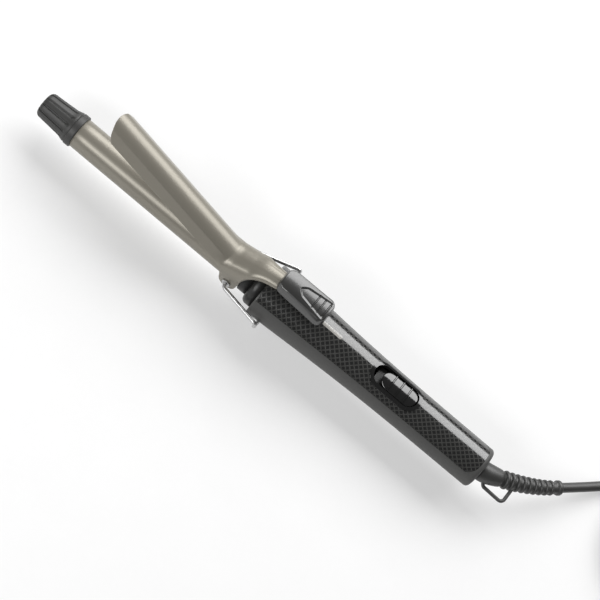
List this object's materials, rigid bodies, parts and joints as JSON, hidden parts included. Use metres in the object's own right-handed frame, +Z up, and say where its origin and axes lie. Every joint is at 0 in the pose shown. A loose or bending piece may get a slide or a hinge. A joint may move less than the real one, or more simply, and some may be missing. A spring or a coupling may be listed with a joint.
{
  "type": "curling iron",
  "caption": "Handheld curling iron with a tubular heated barrel, spring clamp with thumb lever, folding wire stand, slide switch, hanging loop and coiled mains lead.",
  "frame": {"origin": "under the middle of the iron without its cord, on the surface that the folded stand's foot touches", "axes": "+X along the iron from the cool tip towards the cord, +Y along the clamp's hinge line, +Z up on the clamp's side"},
  "size_m": [0.5177, 0.1167, 0.0696],
  "materials": {
    "barrel_coat": "satin warm grey ceramic coat",
    "tip_plastic": "satin dark grey",
    "thumb_plastic": "satin near black",
    "collar_plastic": "satin black",
    "ceramic": "white ceramic",
    "spreader_aluminium": "extruded",
    "lead_sleeving": "silicone sleeving",
    "steel": "plated",
    "chrome_wire": "bright",
    "upper_gloss": "glossy with a fine lattice pattern",
    "lower_satin": "satin dark grey",
    "lens_clear": "smoked, clear",
    "lamp_glass": "clear",
    "switch_gloss": "gloss black",
    "switch_housing": "matt",
    "terminal_brass": "bare",
    "cord_rubber": "matt dark grey",
    "loop_plastic": "satin dark grey",
    "tie_plastic": "matt",
    "plug_rubber": "satin dark grey",
    "pin_nickel": "nickel plated"
  },
  "bodies": {
    "iron": {"barrel_tube": "barrel_coat", "cool_tip": "tip_plastic", "barrel_collar": "collar_plastic", "handle_collar": "collar_plastic", "tip_insulator": "ceramic", "ceramic_heater": "ceramic", "heat_spreader_upper": "spreader_aluminium", "heat_spreader_lower": "spreader_aluminium", "heater_leads": "lead_sleeving", "thermal_fuse": "steel", "clamp_spring": "steel", "pivot_bracket": "steel", "pivot_rivets": "chrome_wire", "handle_upper_shell": "upper_gloss", "handle_lower_shell": "lower_satin", "handle_screws": "steel", "indicator_lens": "lens_clear", "indicator_lamp": "lamp_glass", "switch_bezel": "switch_gloss", "switch_body": "switch_housing", "switch_terminals": "terminal_brass", "inner_leads": "lead_sleeving", "cord_clamp": "switch_housing", "cord_clamp_screws": "steel", "strain_relief": "cord_rubber", "hang_loop": "loop_plastic", "mains_cord": "cord_rubber", "cord_coil": "cord_rubber", "coil_tie": "tie_plastic", "cord_tail": "cord_rubber", "plug_body": "plug_rubber", "plug_pins": "pin_nickel"},
    "clamp": {"clamp_shell": "barrel_coat", "thumb_rest": "thumb_plastic", "thumb_rest_screws": "steel"},
    "stand": {"stand_wire": "chrome_wire"},
    "switch_button": {"switch_slider": "switch_gloss"}
  },
  "joints": [
    {"name": "clamp_pivot", "type": "hinge", "parent": "iron", "child": "clamp", "pos_m": [-0.02865, 0, 0.0176], "axis": [0, 1, 0], "range_deg": [-20, 7], "stiffness_Nm_per_rad": 0.35, "springref_deg": -31.51, "deforming": ["clamp_spring"]},
    {"name": "stand_pivot", "type": "hinge", "parent": "iron", "child": "stand", "pos_m": [-0.02865, 0, 0.0176], "axis": [0, 1, 0], "range_deg": [0, 130]},
    {"name": "switch_slide", "type": "slide", "parent": "iron", "child": "switch_button", "axis": [1, 0, 0], "range_m": [-0.0055, 0]}
  ]
}
